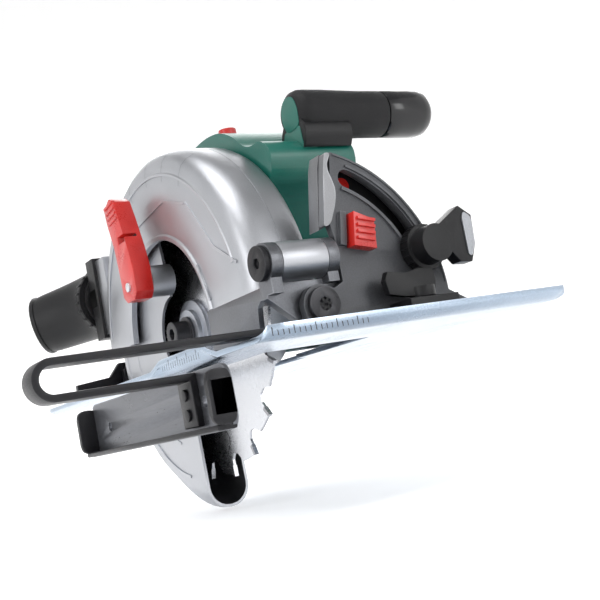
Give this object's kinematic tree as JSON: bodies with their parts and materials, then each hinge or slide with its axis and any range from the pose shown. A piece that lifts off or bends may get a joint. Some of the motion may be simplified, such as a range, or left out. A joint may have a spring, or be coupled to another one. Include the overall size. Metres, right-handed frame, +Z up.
{
  "type": "circular saw",
  "caption": "Corded hand circular saw with fixed and pendulum blade guards, tilting and depth-swinging head, transverse front grip, rear trigger handle and hairpin parallel guide.",
  "frame": {"origin": "centre of the sole's underside, in the sole's plane", "axes": "+X in the cutting direction, +Y to the saw's left (the motor side), +Z up"},
  "size_m": [0.3285, 0.2583, 0.2035],
  "materials": {
    "zinc_steel": "zinc-plated, brushed",
    "black_cast": "black powder coat",
    "black_steel": "black coated steel",
    "bright_steel": "bright zinc",
    "black_plastic": "fine-textured moulding",
    "grey_steel": "phosphated steel",
    "grey_cast": "as cast",
    "silver_cast": "fine blasted die casting",
    "red_plastic": "semi-gloss moulding",
    "green_plastic": "satin moulding",
    "soft_grip": "soft overmould",
    "gloss_black": "glossy moulding",
    "blade_steel": "ground steel",
    "dark_screw": "black oxide",
    "laminated_steel": "stacked laminations",
    "copper": "turned copper",
    "brass": "plain"
  },
  "bodies": {
    "base": {"sole_plate": "zinc_steel", "bevel_quadrant": "black_cast", "rear_bevel_bracket": "black_steel", "bevel_pins": "bright_steel", "sole_rivets": "bright_steel", "guide_clamp_block": "black_plastic"},
    "bevel_stop": {"bevel_stop_slider": "red_plastic"},
    "wing_screw": {"guide_wing_screw": "black_plastic"},
    "guide": {"guide_strip": "black_steel", "guide_fence": "grey_steel", "fence_rivets": "black_steel"},
    "tilt_frame": {"tilt_bracket": "grey_cast", "depth_hinge_pin": "black_steel", "depth_arc": "black_steel", "bevel_clamp_bolt": "bright_steel"},
    "bevel_lever": {"bevel_clamp_lever": "black_plastic"},
    "saw_head": {"upper_guard": "silver_cast", "gear_case": "grey_cast", "guard_retaining_ring": "bright_steel", "guard_spring": "bright_steel", "spindle_bearings": "bright_steel", "motor_housing": "green_plastic", "motor_end_cap": "black_plastic", "motor_bearings": "bright_steel", "stator": "laminated_steel", "brush_holders": "brass", "brush_caps": "black_plastic", "handle_shell_right": "green_plastic", "handle_shell_left": "green_plastic", "handle_grip": "soft_grip", "handle_screws": "bright_steel", "switch_block": "black_plastic", "cable_gland": "soft_grip", "front_handle": "green_plastic", "front_grip": "soft_grip", "front_grip_end": "gloss_black", "handle_plug": "green_plastic", "dust_adaptor": "black_plastic", "depth_clamp_bolt": "bright_steel", "trigger_pin": "bright_steel"},
    "dust_spout": {"dust_spout": "black_plastic"},
    "depth_lever": {"depth_clamp_lever": "black_plastic"},
    "lower_guard": {"pendulum_guard": "silver_cast", "guard_lever": "red_plastic", "lever_screw": "bright_steel"},
    "blade_spindle": {"spindle": "bright_steel", "drive_gear": "grey_steel", "inner_flange": "grey_steel", "saw_blade": "blade_steel", "outer_flange": "grey_steel", "arbor_bolt": "dark_screw"},
    "armature": {"armature_shaft": "bright_steel", "pinion": "grey_steel", "armature_core": "laminated_steel", "commutator": "copper", "cooling_fan": "black_plastic"},
    "trigger": {"trigger": "black_plastic"},
    "lock_off": {"lock_off_button": "red_plastic"},
    "spindle_lock": {"spindle_lock": "red_plastic"}
  },
  "joints": [
    {"name": "bevel_tilt", "type": "hinge", "parent": "base", "child": "tilt_frame", "pos_m": [0, -0.028, 0.016], "axis": [1, 0, 0], "range_deg": [0, 45]},
    {"name": "depth_swing", "type": "hinge", "parent": "tilt_frame", "child": "saw_head", "pos_m": [0.097, -0.034, 0.038], "axis": [0, 1, 0], "range_deg": [0, 22]},
    {"name": "pendulum_swing", "type": "hinge", "parent": "saw_head", "child": "lower_guard", "pos_m": [-0.013, -0.023, 0.025], "axis": [0, 1, 0], "range_deg": [-62, 70]},
    {"name": "blade_spin", "type": "hinge", "parent": "saw_head", "child": "blade_spindle", "pos_m": [-0.013, -0.034, 0.025], "axis": [0, 1, 0], "continuous": true},
    {"name": "armature_spin", "type": "hinge", "parent": "saw_head", "child": "armature", "pos_m": [-0.007, 0.04, 0.0472], "axis": [0, 1, 0], "continuous": true},
    {"name": "trigger_pull", "type": "hinge", "parent": "saw_head", "child": "trigger", "pos_m": [-0.054, 0.018, 0.1008], "axis": [0, 1, 0], "range_deg": [0, 7], "stiffness_Nm_per_rad": 0.8, "springref_deg": -6.88},
    {"name": "lock_off_press", "type": "slide", "parent": "saw_head", "child": "lock_off", "axis": [0, -1, 0], "range_m": [0, 0.003], "stiffness_N_per_m": 300, "springref_m": -0.002},
    {"name": "spindle_lock_press", "type": "slide", "parent": "saw_head", "child": "spindle_lock", "axis": [0, 0, -1], "range_m": [0, 0.0012], "stiffness_N_per_m": 600, "springref_m": -0.003},
    {"name": "spout_turn", "type": "hinge", "parent": "saw_head", "child": "dust_spout", "pos_m": [-0.13, -0.035, 0.066], "axis": [1, 0, 0], "range_deg": [-60, 80]},
    {"name": "depth_lever_turn", "type": "hinge", "parent": "saw_head", "child": "depth_lever", "pos_m": [-0.07776, -0.006, 0.04716], "axis": [0, 1, 0], "range_deg": [0, 35]},
    {"name": "bevel_lever_turn", "type": "hinge", "parent": "tilt_frame", "child": "bevel_lever", "pos_m": [0.108, 0.03157, 0.03651], "axis": [1, 0, 0], "range_deg": [0, 60]},
    {"name": "wing_screw_turn", "type": "hinge", "parent": "base", "child": "wing_screw", "pos_m": [0.11, 0.022, 0.014], "axis": [0, 0, 1], "range_deg": [0, 170]},
    {"name": "guide_slide", "type": "slide", "parent": "base", "child": "guide", "axis": [0, 1, 0], "range_m": [-0.045, 0.035]},
    {"name": "bevel_stop_shift", "type": "slide", "parent": "base", "child": "bevel_stop", "axis": [0, 0.1373, 0.9905], "range_m": [0, 0.0012]}
  ],
  "couplings": [
    {"joint": "armature_spin", "follows": "blade_spin", "ratio": -4.75}
  ]
}
